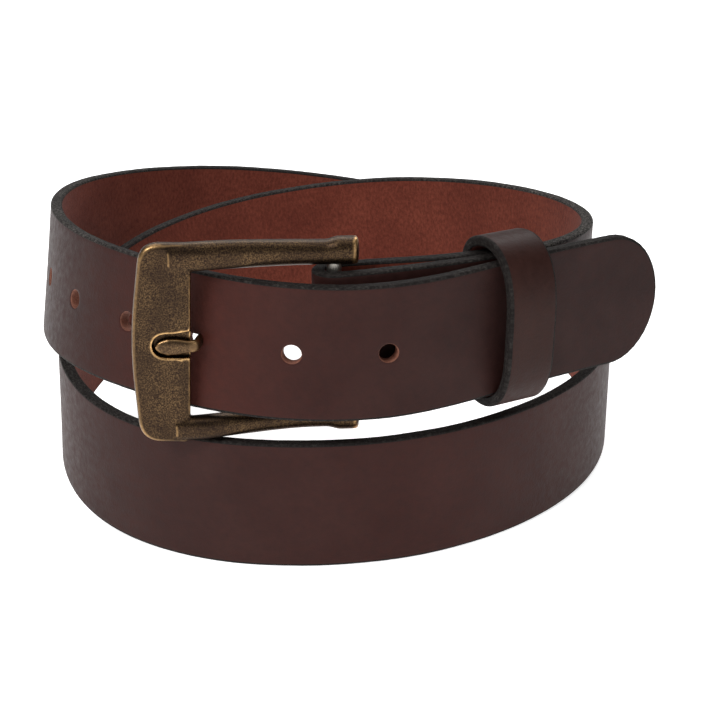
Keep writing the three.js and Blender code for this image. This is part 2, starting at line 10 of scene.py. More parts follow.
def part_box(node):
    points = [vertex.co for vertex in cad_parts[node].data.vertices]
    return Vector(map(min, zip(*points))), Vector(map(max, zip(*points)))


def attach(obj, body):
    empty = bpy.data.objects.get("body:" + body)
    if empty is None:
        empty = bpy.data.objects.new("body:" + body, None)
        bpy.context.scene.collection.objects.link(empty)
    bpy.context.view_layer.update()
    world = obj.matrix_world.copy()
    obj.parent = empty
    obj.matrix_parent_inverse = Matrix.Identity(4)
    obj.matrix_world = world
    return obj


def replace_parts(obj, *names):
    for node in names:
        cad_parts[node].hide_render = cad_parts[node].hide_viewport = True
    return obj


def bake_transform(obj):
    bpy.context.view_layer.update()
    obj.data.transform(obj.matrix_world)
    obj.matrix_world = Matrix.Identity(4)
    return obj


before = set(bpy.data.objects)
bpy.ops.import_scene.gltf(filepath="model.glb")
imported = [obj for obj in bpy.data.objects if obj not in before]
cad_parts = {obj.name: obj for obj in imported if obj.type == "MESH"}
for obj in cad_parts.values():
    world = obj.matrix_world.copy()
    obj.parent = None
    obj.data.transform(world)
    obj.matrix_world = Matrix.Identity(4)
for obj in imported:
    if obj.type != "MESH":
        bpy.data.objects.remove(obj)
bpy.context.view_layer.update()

MM = 0.001

# ---- Camera
CAMERA_AIM_COURSE = (0.0, 0.0, 63.39)
CAMERA_DISTANCE = 399.9 * MM
CAMERA_ELEVATION = math.radians(22.75)
CAMERA_LENS_MM = 75.4

# ---- Strap, in mm: as in the CAD model, but the used hole hugs the prong
STRAP_WIDTH = 38.1
STRAP_THICKNESS = 3.5
EDGE_BEVEL = 0.8
TIP_LENGTH = 16.0
TAIL_JOINT_AT = 176.0
HOLE_PITCH = 25.4
HOLE_COUNT = 7
HOLE_DIAMETER = 5.2
FIRST_HOLE_AT = 87.0
USED_HOLE = 2
USED_HOLE_AT = 139.9
USED_HOLE_LENGTH = 4.8
USED_HOLE_DIAMETER = 3.4
FOLD_RADIUS = 4.2
PLY_GAP = 0.3
FLAP_LENGTH = 64.0
FLAP_CLOSES_AT = 44.0
SLOT_WIDTH = 8.4
SLOT_REACH = 9.0
SWAY = 0.12
STATION_STEP = 0.25

# The strap's lie from the tip to the hinge bar: poles of a uniform cubic B-spline.
# Each row is x, y, z of the middle line in mm, and the lean of the strap's face in degrees.
STRAP_POLES = np.array([
    [163, 84, 65, -1],
    [76, 37, 68.3, -2],
    [41.5, 17, 67.3, -1],
    [10, 0.5, 64.2, 0],
    [-30, -1.6, 65.7, -3],
    [-76, 28, 66.5, -16],
    [-96, 64.5, 64.5, -10],
    [-101.5, 118, 59.5, -1],
    [-70, 170.5, 51.5, 1],
    [-10, 190, 42.5, 1],
    [43, 174, 34, 0],
    [75, 137, 27, 0],
    [84, 83.5, 21, 0],
    [66, 40, 19.05, 0],
    [21, 4, 19.05, 0],
    [-36, -1, 19.05, 0],
    [-77, 22, 19.05, 0],
    [-96, 59, 26, -3],
    [-88.5, 107, 36.5, -1],
    [-53, 142, 46, 0],
    [11.5, 147.5, 54.5, 1],
    [60.5, 108, 60.5, 1],
    [73, 58, 65, 1],
    [51, 24, 67.3, 0],
    [-6.5, 3, 66.7, 0],
    [-61, -2, 66.7, 0],
], float)

# ---- Buckle, in mm, in its own axes: X towards the bar's far side, -Y out of the belt
BUCKLE_TURN = math.radians(4)
PLATE_LEFT = -54.0
PLATE_RIGHT = -38.6
PLATE_HEIGHT = 56.6
PLATE_LEAN = math.radians(2.5)
PLATE_BULGE = 2.0
PLATE_FRONT = -5.6
PLATE_THICKNESS = 3.7
CHAMFER_WIDTH = 2.3
CHAMFER_SLOPE = 0.42
NOTCH_DEPTH = 10.2
NOTCH_HEIGHT = 7.6
NOTCH_POCKET = 2.4
NOTCH_TRIM = 0.4
OPENING_HEIGHT = 43.0
ARM_HEIGHT = 5.4
ARM_ROOT_HEIGHT = 6.6
UPPER_ARM_DROP = 1.2
ARM_THICKNESS = 6.2
ARM_SLIMS_OVER = 36.0
ARM_END_ROUNDING = 1.7
BOSS_REACH = 6.7
BOSS_RISE = 0.8
BAR_DIAMETER = 4.0
BAR_LENGTH = 50.0
BAR_CHAMFER = 0.3
BAR_CLEARANCE = 0.3
PRONG_THICKNESS = 2.0
PRONG_EYE_RADIUS = 4.0
PRONG_EYE_WIDTH = 6.8
PRONG_DROOP = math.radians(0.8)

# ---- Screws, keeper and staples, in mm
SCREW_FROM_BAR = 49.0
SCREW_SPACING = 20.0
SCREW_HEAD_DIAMETER = 9.0
SCREW_HEAD_THICKNESS = 1.0
SCREW_CLEARANCE = 0.3
KEEPER_FROM_BAR = 48.7
KEEPER_WIDTH = 15.2
KEEPER_LEATHER = 2.8
KEEPER_MIDDLE = 1.3
KEEPER_FRONT_SLACK = 4.8
KEEPER_BACK_SLACK = 2.2
KEEPER_HEADROOM = 2.6
KEEPER_FRONT_POWER = 3.4
KEEPER_BACK_POWER = 9.0
KEEPER_SEAM = 0.5
STAPLE_WIRE = 1.0
STAPLE_SPAN = 9.0
STAPLE_LEG = 2.0
STAPLE_OFFSET = 3.6


# ---- The strap's course

def spline_points(u):
    """x, y, z and lean at spline parameters u."""
    first = np.clip(np.floor(u).astype(int), 0, len(STRAP_POLES) - 4)
    t = (u - first)[:, None]
    weights = [(1 - t) ** 3 / 6, (3 * t**3 - 6 * t**2 + 4) / 6,
               (-3 * t**3 + 3 * t**2 + 3 * t + 1) / 6, t**3 / 6]
    return sum(w * STRAP_POLES[first + k] for k, w in enumerate(weights))


def lengths_along(points):
    """Length from the first point to each point of a polyline."""
    return np.concatenate([[0], np.cumsum(np.linalg.norm(np.diff(points, axis=0), axis=1))])


SPLINE_U = np.linspace(0, len(STRAP_POLES) - 3, 4000)
SPLINE_ROWS = spline_points(SPLINE_U)
SPLINE_S = lengths_along(SPLINE_ROWS[:, :3])
BAR_AT = SPLINE_S[-1]
FLAP_AT = BAR_AT + math.pi * FOLD_RADIUS
STRAP_END_AT = FLAP_AT + FLAP_LENGTH


def along_spline(s):
    """Middle line and lean (radians) at lengths s from the tip, up to the bar."""
    u = np.interp(s, SPLINE_S, SPLINE_U)
    rows = spline_points(u)
    return rows[:, :3], np.radians(rows[:, 3])


def unit(v):
    return v / np.linalg.norm(v, axis=-1, keepdims=True)


def axes_along(along, lean):
    """Directions across the strap and out of its grain side."""
    up = np.array([0.0, 0.0, 1.0])
    level = unit(up - along * (along @ up)[:, None])
    side = np.cross(level, along)
    c, s = np.cos(lean)[:, None], np.sin(lean)[:, None]
    return level * c + side * s, side * c - level * s


def middle_line(s):
    """Middle line of the strap: its course, the fold round the bar and the flap behind the billet."""
    billet = np.clip(np.where(s > FLAP_AT, BAR_AT - (s - FLAP_AT), s), 0, BAR_AT)
    centre, lean = along_spline(billet)
    folded = s > BAR_AT
    if folded.any():
        before, _ = along_spline(billet[folded] - 1)
        along = unit(centre[folded] - before)
        _, out = axes_along(along, np.zeros(folded.sum()))
        turn = np.clip((s[folded] - BAR_AT) / FOLD_RADIUS, 0, math.pi)[:, None]
        d = np.clip((s[folded] - FLAP_AT) / FLAP_CLOSES_AT, 0, 1)[:, None]
        closed = STRAP_THICKNESS + PLY_GAP
        setback = closed + (2 * FOLD_RADIUS - closed) * (1 - d * d * (3 - 2 * d))
        back = np.where(turn < math.pi, FOLD_RADIUS * (1 - np.cos(turn)), setback)
        centre[folded] += -out * back + along * FOLD_RADIUS * np.sin(turn)
        lean[folded] = 0
    return centre, lean


FRAME_S = np.arange(0, STRAP_END_AT + STATION_STEP, STATION_STEP)


def strap_frames():
    """Middle, and directions along, across and out of the strap, at each of FRAME_S."""
    centre, lean = middle_line(FRAME_S)
    ahead, _ = middle_line(np.clip(FRAME_S + STATION_STEP, 0, STRAP_END_AT))
    behind, _ = middle_line(np.clip(FRAME_S - STATION_STEP, 0, STRAP_END_AT))
    along = unit(ahead - behind)
    across, out = axes_along(along, lean)
    return centre, along, across, out


CENTRE, ALONG, ACROSS, OUT = strap_frames()


def at(table, s):
    """A row for each length s, read from a table with a row for each of FRAME_S."""
    return np.stack([np.interp(s, FRAME_S, table[:, k]) for k in range(3)], axis=-1)


def on_strap(s, w, o):
    """Points at length s, distance w up the strap's width and o out of its middle, in mm."""
    s, w, o = (np.asarray(x, float) for x in (s, w, o))
    return at(CENTRE, s) + at(ACROSS, s) * w[..., None] + at(OUT, s) * o[..., None]


# ---- From the course's axes to the row frame, by way of the CAD's hinge bar

bar_low, bar_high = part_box("hinge_bar")
BAR_ROW = np.array((bar_low + bar_high) / 2)
BAR_COURSE = on_strap([BAR_AT], [0], [-FOLD_RADIUS])[0]
BUCKLE_AXES = np.array(Matrix.Rotation(BUCKLE_TURN, 3, "Z"))


def to_row(points):
    """Course mm to row metres."""
    return (np.asarray(points, float) - BAR_COURSE) * MM + BAR_ROW


def buckle_to_row(points):
    """Buckle mm to row metres."""
    return np.asarray(points, float) @ BUCKLE_AXES.T * MM + BAR_ROW


def wander(points, scale, seed):
    """Smooth noise in -1..1 at points, one feature per scale."""
    shift = Vector((seed, 2.7 * seed, -1.3 * seed))
    return np.array([noise.noise(Vector(p) / scale + shift) for p in points])


# ---- Mesh helpers

def put_in_scene(name, data):
    obj = bpy.data.objects.new(name, data)
    bpy.context.scene.collection.objects.link(obj)
    return obj


def make_object(name, vertices, faces, materials, slots=None, uv=None):
    """A smooth-shaded mesh, with material slots per face and UVs per vertex if given."""
    mesh = bpy.data.meshes.new(name)
    mesh.from_pydata([tuple(v) for v in vertices], [], faces)
    obj = put_in_scene(name, mesh)
    for material in materials:
        mesh.materials.append(material)
    if slots is not None:
        mesh.polygons.foreach_set("material_index", slots)
    if uv is not None:
        layer = mesh.uv_layers.new(name="strap_uv")
        loops = np.zeros(len(mesh.loops), int)
        mesh.loops.foreach_get("vertex_index", loops)
        layer.data.foreach_set("uv", np.asarray(uv, float)[loops].ravel())
    mesh.polygons.foreach_set("use_smooth", [True] * len(mesh.polygons))
    mesh.update()
    return obj


def apply_modifiers(obj):
    """Swaps the mesh for what its modifiers make of it."""
    depsgraph = bpy.context.evaluated_depsgraph_get()
    mesh = bpy.data.meshes.new_from_object(obj.evaluated_get(depsgraph))
    old = obj.data
    obj.modifiers.clear()
    obj.data = mesh
    bpy.data.meshes.remove(old)
    obj.data.polygons.foreach_set("use_smooth", [True] * len(obj.data.polygons))


def join(objects, name):
    """One object from several, which are removed."""
    work = bmesh.new()
    for obj in objects:
        work.from_mesh(obj.data)
        bpy.data.objects.remove(obj)
    mesh = bpy.data.meshes.new(name)
    work.to_mesh(mesh)
    work.free()
    return put_in_scene(name, mesh)


def outward(obj):
    work = bmesh.new()
    work.from_mesh(obj.data)
    bmesh.ops.recalc_face_normals(work, faces=work.faces)
    work.to_mesh(obj.data)
    work.free()


def cast(obj, voxel, rounds):
    """Fuses overlapping solids into one skin with the soft edges of a casting."""
    outward(obj)
    remesh = obj.modifiers.new("remesh", "REMESH")
    remesh.mode = "VOXEL"
    remesh.voxel_size = voxel
    smooth = obj.modifiers.new("smooth", "SMOOTH")
    smooth.factor = 0.5
    smooth.iterations = rounds
    apply_modifiers(obj)


def cut(obj, tool):
    outward(tool)
    boolean = obj.modifiers.new("cut", "BOOLEAN")
    boolean.operation = "DIFFERENCE"
    boolean.solver = "EXACT"
    boolean.object = tool
    apply_modifiers(obj)
    bpy.data.objects.remove(tool)


def tube_faces(rings, count, closed=False):
    """Quads between rings of count points each, and end caps on an open tube."""
    faces = []
    spans = rings if closed else rings - 1
    for i in range(spans):
        a, b = i * count, ((i + 1) % rings) * count
        for j in range(count):
            k = (j + 1) % count
            faces.append((a + j, a + k, b + k, b + j))
    if not closed:
        faces.append(tuple(reversed(range(count))))
        faces.append(tuple((rings - 1) * count + j for j in range(count)))
    return faces


def smooth_line(points, samples):
    """A Catmull-Rom line through the points: positions and directions."""
    points = np.asarray(points, float)
    padded = np.vstack([2 * points[0] - points[1], points, 2 * points[-1] - points[-2]])
    spans = len(points) - 1
    u = np.linspace(0, spans, samples)
    i = np.clip(u.astype(int), 0, spans - 1)
    t = (u - i)[:, None]
    p0, p1, p2, p3 = (padded[i + k] for k in range(4))
    line = 0.5 * (2 * p1 + (p2 - p0) * t + (2 * p0 - 5 * p1 + 4 * p2 - p3) * t**2
                  + (3 * p1 - p0 - 3 * p2 + p3) * t**3)
    return line, unit(np.gradient(line, axis=0))


def side_normals(line, tangent):
    """Directions square to a flat line's tangents, on the side away from its middle."""
    normal = np.stack([tangent[:, 1], -tangent[:, 0]], axis=-1)
    if ((line - line.mean(axis=0)) * normal).sum() < 0:
        normal = -normal
    return normal


def rounded_section(width, height, power, count):
    """Points of a superellipse: power 2 is an ellipse, higher is boxier."""
    a = np.linspace(0, 2 * math.pi, count, endpoint=False)
    c, s = np.cos(a), np.sin(a)
    return np.stack([width / 2 * np.sign(c) * np.abs(c) ** (2 / power),
                     height / 2 * np.sign(s) * np.abs(s) ** (2 / power)], axis=-1)


def lathe(profile, segments, centre, axes):
    """Turns (radius, height) points round the third of the given axes."""
    a = np.linspace(0, 2 * math.pi, segments, endpoint=False)
    rings = [np.stack([r * np.cos(a), r * np.sin(a), np.full(segments, h)], axis=-1) for r, h in profile]
    points = np.vstack(rings) @ np.asarray(axes) + np.asarray(centre)
    return points, tube_faces(len(profile), segments)


# ---- Material helpers

class Graph:
    """A material's node tree, with short calls for its nodes."""

    def __init__(self, name):
        self.material = bpy.data.materials.new(name)
        self.material.use_nodes = True
        self.tree = self.material.node_tree
        self.shader = self.tree.nodes["Principled BSDF"]

    def feed(self, socket, value):
        """Links a value that a node puts out, or sets a constant."""
        if isinstance(value, bpy.types.NodeSocket):
            self.tree.links.new(value, socket)
        else:
            socket.default_value = value

    def node(self, kind, **inputs):
        made = self.tree.nodes.new(kind)
        for name, value in inputs.items():
            self.feed(made.inputs[name], value)
        return made

    def link(self, source, socket):
        self.tree.links.new(source, self.shader.inputs[socket])

    def noise(self, vector, scale, detail=4.0, rough=0.55):
        return self.node("ShaderNodeTexNoise", Vector=vector, Scale=scale, Detail=detail, Roughness=rough)

    def ramp(self, value, stops):
        """A colour ramp; each stop is a place with a colour or a grey."""
        made = self.tree.nodes.new("ShaderNodeValToRGB")
        self.tree.links.new(value, made.inputs["Fac"])
        elements = made.color_ramp.elements
        while len(elements) < len(stops):
            elements.new(0.5)
        for element, (place, colour) in zip(elements, stops):
            element.position = place
            element.color = (*colour, 1) if isinstance(colour, tuple) else (colour, colour, colour, 1)
        return made.outputs["Color"]

    def mix(self, factor, a, b, mode="MIX"):
        made = self.tree.nodes.new("ShaderNodeMix")
        made.data_type = "RGBA"
        made.blend_type = mode
        for socket, value in ((0, factor), (6, a), (7, b)):
            self.feed(made.inputs[socket], (*value, 1) if isinstance(value, tuple) else value)
        return made.outputs[2]

    def math(self, operation, a, b=0.0):
        made = self.tree.nodes.new("ShaderNodeMath")
        made.operation = operation
        self.feed(made.inputs[0], a)
        self.feed(made.inputs[1], b)
        return made.outputs[0]

    def uv(self):
        made = self.tree.nodes.new("ShaderNodeUVMap")
        made.uv_map = "strap_uv"
        return made.outputs["UV"]

    def place(self):
        return self.tree.nodes.new("ShaderNodeTexCoord").outputs["Object"]

    def stretched(self, vector, scale):
        return self.node("ShaderNodeMapping", Vector=vector, Scale=scale).outputs["Vector"]

    def attribute(self, name):
        made = self.tree.nodes.new("ShaderNodeAttribute")
        made.attribute_name = name
        return made.outputs["Fac"]

    def bump(self, height, strength, distance, after=None):
        made = self.node("ShaderNodeBump", Height=height, Strength=strength, Distance=distance)
        if after is not None:
            self.tree.links.new(after, made.inputs["Normal"])
        return made.outputs["Normal"]


def grain_leather(name, dark, light, red, roughness):
    """Waxed full-grain leather: soft tonal clouds, fine pores and hair cells, faint creases."""
    g = Graph(name)
    uv = g.uv()
    clouds = g.noise(uv, 45, 5, 0.6).outputs["Fac"]
    mottle = g.noise(uv, 420, 4, 0.6).outputs["Fac"]
    base = g.ramp(clouds, [(0.3, dark), (0.72, light)])
    base = g.mix(g.attribute("warmth"), base, red)
    tint = g.ramp(mottle, [(0.3, 0.72), (0.7, (1.25, 1.22, 1.2))])
    base = g.mix(0.5, base, tint, "MULTIPLY")
    specks = g.noise(uv, 1500, 2, 0.5).outputs["Fac"]
    base = g.mix(g.ramp(specks, [(0.72, 0), (0.8, 0.35)]), base, light)
    g.link(base, "Base Color")
    pores = g.node("ShaderNodeTexVoronoi", Vector=uv, Scale=1500.0).outputs["Distance"]
    fine = g.noise(uv, 2600, 3, 0.6).outputs["Fac"]
    creases = g.noise(g.stretched(uv, (1.0, 0.35, 1.0)), 160, 6, 0.65).outputs["Fac"]
    normal = g.bump(creases, 0.25, 0.0004)
    normal = g.bump(pores, 0.22, 0.00012, normal)
    normal = g.bump(fine, 0.3, 0.00008, normal)
    g.link(normal, "Normal")
    g.link(g.ramp(mottle, [(0.3, roughness - 0.08), (0.7, roughness + 0.1)]), "Roughness")
    g.shader.inputs["Specular IOR Level"].default_value = 0.12
    return g.material


def flesh_leather(name, dark, light):
    """The raw reverse of the hide: short matted fibres, warmer and matte, with painted shade where the
    coils cross.
    """
    g = Graph(name)
    uv = g.uv()
    clouds = g.noise(uv, 60, 5, 0.65).outputs["Fac"]
    fibres = g.noise(g.stretched(uv, (1.0, 0.55, 1.0)), 1100, 5, 0.75).outputs["Fac"]
    base = g.ramp(clouds, [(0.25, dark), (0.75, light)])
    tint = g.ramp(fibres, [(0.32, (0.5, 0.45, 0.42)), (0.68, (1.5, 1.4, 1.3))])
    base = g.mix(0.75, base, tint, "MULTIPLY")
    # Painted shade: darker, deeper red flesh where the tone along the strap rises, near the crossing on the
    # left.
    base = g.mix(g.attribute("painted_shade"), base, g.mix(0.5, base, (0.035, 0.012, 0.008)))
    g.link(base, "Base Color")
    fuzz = g.noise(uv, 3200, 4, 0.7).outputs["Fac"]
    normal = g.bump(fibres, 0.55, 0.0003)
    normal = g.bump(fuzz, 0.35, 0.00012, normal)
    g.link(normal, "Normal")
    g.shader.inputs["Roughness"].default_value = 0.82
    g.shader.inputs["Specular IOR Level"].default_value = 0.1
    g.shader.inputs["Sheen Weight"].default_value = 0.05
    return g.material


def edge_leather(name, dark, light):
    """The cut edge: black dyed fibres, rubbed paler in speckles, with more pale speckle at the bends as
    painted sheen.
    """
    g = Graph(name)
    uv = g.uv()
    fibres = g.noise(g.stretched(uv, (0.6, 1.0, 1.0)), 1500, 6, 0.8).outputs["Fac"]
    patches = g.noise(uv, 90, 4, 0.6).outputs["Fac"]
    # How much pale speckle shows: real rubbing, raised at the coil's bends as painted sheen.
    amount = g.math("MULTIPLY", g.ramp(fibres, [(0.46, 0), (0.66, 1)]), g.attribute("rub_and_sheen"))
    amount = g.math("MULTIPLY", amount, g.ramp(patches, [(0.3, 0.45), (0.6, 1.0)]))
    g.link(g.mix(amount, dark, light), "Base Color")
    g.link(g.bump(fibres, 0.8, 0.0004), "Normal")
    g.shader.inputs["Roughness"].default_value = 0.7
    g.shader.inputs["Specular IOR Level"].default_value = 0.12
    return g.material


def plain_fibre(name, dark, light):
    """Freshly punched leather inside a hole."""
    g = Graph(name)
    fibres = g.noise(g.place(), 1400, 5, 0.7).outputs["Fac"]
    g.link(g.ramp(fibres, [(0.3, dark), (0.7, light)]), "Base Color")
    g.link(g.bump(fibres, 0.6, 0.0003), "Normal")
    g.shader.inputs["Roughness"].default_value = 0.8
    return g.material


def antique_brass(name, patina, worn, amount):
    """Darkened brass, rubbed bright on its edges, with a fine speckle on its faces."""
    g = Graph(name)
    place = g.place()
    speckle = g.noise(place, 2600, 3, 0.7).outputs["Fac"]
    flecks = g.noise(place, 1300, 4, 0.65).outputs["Fac"]
    clouds = g.noise(place, 130, 4, 0.6).outputs["Fac"]
    wear = g.attribute("wear")
    faces = g.ramp(speckle, [(0.42, 0), (0.68, 1)])
    faces = g.math("MULTIPLY", faces, g.ramp(clouds, [(0.3, 0.2), (0.75, 0.75)]))
    faces = g.math("MULTIPLY", faces, amount)
    edges = g.math("MULTIPLY", wear, g.ramp(flecks, [(0.3, 0.5), (0.6, 1.0)]))
    bright = g.math("MAXIMUM", faces, edges)
    g.link(g.mix(bright, patina, worn), "Base Color")
    g.link(g.ramp(bright, [(0.0, 0.4), (1.0, 0.24)]), "Roughness")
    g.shader.inputs["Metallic"].default_value = 1.0
    normal = g.bump(flecks, 0.2, 0.00012)
    g.link(g.bump(speckle, 0.25, 0.00006, normal), "Normal")
    return g.material


def brushed_steel(name, tint):
    """Plain steel, drawn lengthwise."""
    g = Graph(name)
    streaks = g.noise(g.stretched(g.place(), (1.0, 1.0, 0.08)), 2500, 3, 0.6).outputs["Fac"]
    dark = tuple(0.7 * c for c in tint)
    g.link(g.ramp(streaks, [(0.3, dark), (0.7, tint)]), "Base Color")
    g.link(g.ramp(streaks, [(0.3, 0.3), (0.7, 0.45)]), "Roughness")
    g.link(g.bump(streaks, 0.15, 0.00005), "Normal")
    g.shader.inputs["Metallic"].default_value = 1.0
    return g.material


def studio_floor(name):
    """Pale matte paper that glows enough to stay white."""
    g = Graph(name)
    grain = g.noise(g.place(), 900, 2, 0.5).outputs["Fac"]
    g.link(g.ramp(grain, [(0.3, 0.93), (0.7, 0.95)]), "Base Color")
    g.shader.inputs["Roughness"].default_value = 0.9
    g.shader.inputs["Specular IOR Level"].default_value = 0.0
    g.shader.inputs["Emission Color"].default_value = (1, 1, 1, 1)
    g.shader.inputs["Emission Strength"].default_value = 0.7
    return g.material


GRAIN = grain_leather(
    "strap_grain", dark=(0.019, 0.0076, 0.0068), light=(0.034, 0.0145, 0.0125), red=(0.066, 0.015, 0.01),
    roughness=0.5)
KEEPER_GRAIN = grain_leather(
    "keeper_grain", dark=(0.018, 0.007, 0.0056), light=(0.031, 0.0125, 0.0096), red=(0.056, 0.015, 0.01),
    roughness=0.45)
FLESH = flesh_leather("strap_flesh", dark=(0.105, 0.024, 0.015), light=(0.17, 0.043, 0.027))
EDGE = edge_leather("strap_edge", dark=(0.008, 0.006, 0.0055), light=(0.17, 0.155, 0.14))
PUNCHED = plain_fibre("punched_wall", dark=(0.11, 0.035, 0.02), light=(0.26, 0.1, 0.06))
BRASS = antique_brass(
    "antique_brass", patina=(0.026, 0.0165, 0.0125), worn=(0.72, 0.44, 0.19), amount=0.3)
PRONG_BRASS = antique_brass(
    "prong_brass", patina=(0.05, 0.031, 0.02), worn=(0.72, 0.44, 0.2), amount=0.4)
STEEL = brushed_steel("screw_steel", (0.5, 0.47, 0.42))


# ---- Strap

COLUMNS = 32
ROW_STEP = HOLE_PITCH / 20
FOLD_ROW_STEP = 0.8
FLAP_ROWS = 45
PATCH_RINGS = 4
PATCH_MARGIN = 1.6
MOUTH_MARGIN = 0.35
EDGE_ROUGHNESS = 0.07
EDGE_WAVE = 0.12
SEAM_AT = FIRST_HOLE_AT + HOLE_PITCH * 4.25
GRAIN_SLOT, FLESH_SLOT, EDGE_SLOT, WALL_SLOT = range(4)

# How the leather's look changes along the strap: (length from the tip in mm, amount).
STRAP_TONES = {
    "warmth": [(0, 0.0), (60, 0.05), (110, 0.3), (140, 0.75), (155, 0.55), (185, 0.1), (560, 0.15),
               (640, 0.35), (700, 0.2), (900, 0.1), (1220, 0.1)],
    # Painted shade on the flesh side, from 700 to 930 mm, near the crossing on the left.
    "painted_shade": [(0, 0.0), (700, 0.0), (790, 0.5), (850, 0.5), (930, 0.0), (1220, 0.0)],
    # Pale speckle on the cut edges: real rubbing, with the peaks at the bends (190-240 and 1010-1070 mm) a
    # painted sheen.
    "rub_and_sheen": [(0, 0.25), (150, 0.3), (190, 0.8), (240, 1.0), (330, 0.3), (480, 0.3), (560, 0.2),
            (690, 0.2), (800, 0.35), (950, 0.5), (1010, 1.0), (1070, 0.9), (1110, 0.3), (1220, 0.3)],
}
KEEPER_TONES = {"warmth": 0.12, "painted_shade": 0.0, "rub_and_sheen": 0.22}


def tip_half_width(s, inset):
    """Half the width of the tip's rounded outline, drawn in by inset."""
    length = TIP_LENGTH - inset
    t = np.clip((TIP_LENGTH - s) / length, 0, 1)
    return (STRAP_WIDTH / 2 - inset) * np.sqrt(1 - t * t)


def tip_stations():
    """Lengths at which the rounded tip's rows stand, closer towards its end."""
    angles = np.radians([5, 12, 20, 28, 37, 46, 55, 64, 73, 82, 90])
    return TIP_LENGTH - (TIP_LENGTH - EDGE_BEVEL) * np.cos(angles)


def punched_rows(low, high):
    """Evenly spaced stations with one on each hole's middle."""
    first = math.ceil((low - FIRST_HOLE_AT) / ROW_STEP)
    last = math.floor((high - FIRST_HOLE_AT) / ROW_STEP)
    return FIRST_HOLE_AT + ROW_STEP * np.arange(first, last + 1)


def fold_rows():
    """Close stations round the fold, with one on the prong slot's middle."""
    slot_middle = (BAR_AT + FLAP_AT) / 2
    count = round((math.pi * FOLD_RADIUS / 2 + 12) / FOLD_ROW_STEP)
    return slot_middle + FOLD_ROW_STEP * np.arange(-count, count + 1)


def hole_outline(angles, half_length, radius):
    """Where rays at these angles leave a round-ended slot, as (along, across)."""
    c, s = np.cos(angles), np.sin(angles)
    straight = half_length - radius
    side = radius / np.maximum(np.abs(s), 1e-9)
    flat = np.abs(side * c) <= straight
    end = straight * np.abs(c) + np.sqrt(np.maximum(radius**2 - (straight * s) ** 2, 0))
    reach = np.where(flat, side, end)
    return np.stack([reach * c, reach * s], axis=-1)


def set_point_values(obj, name, values):
    """A named value at each of the mesh's points, for its material to read."""
    attribute = obj.data.attributes.new(name, "FLOAT", "POINT")
    attribute.data.foreach_set("value", values)


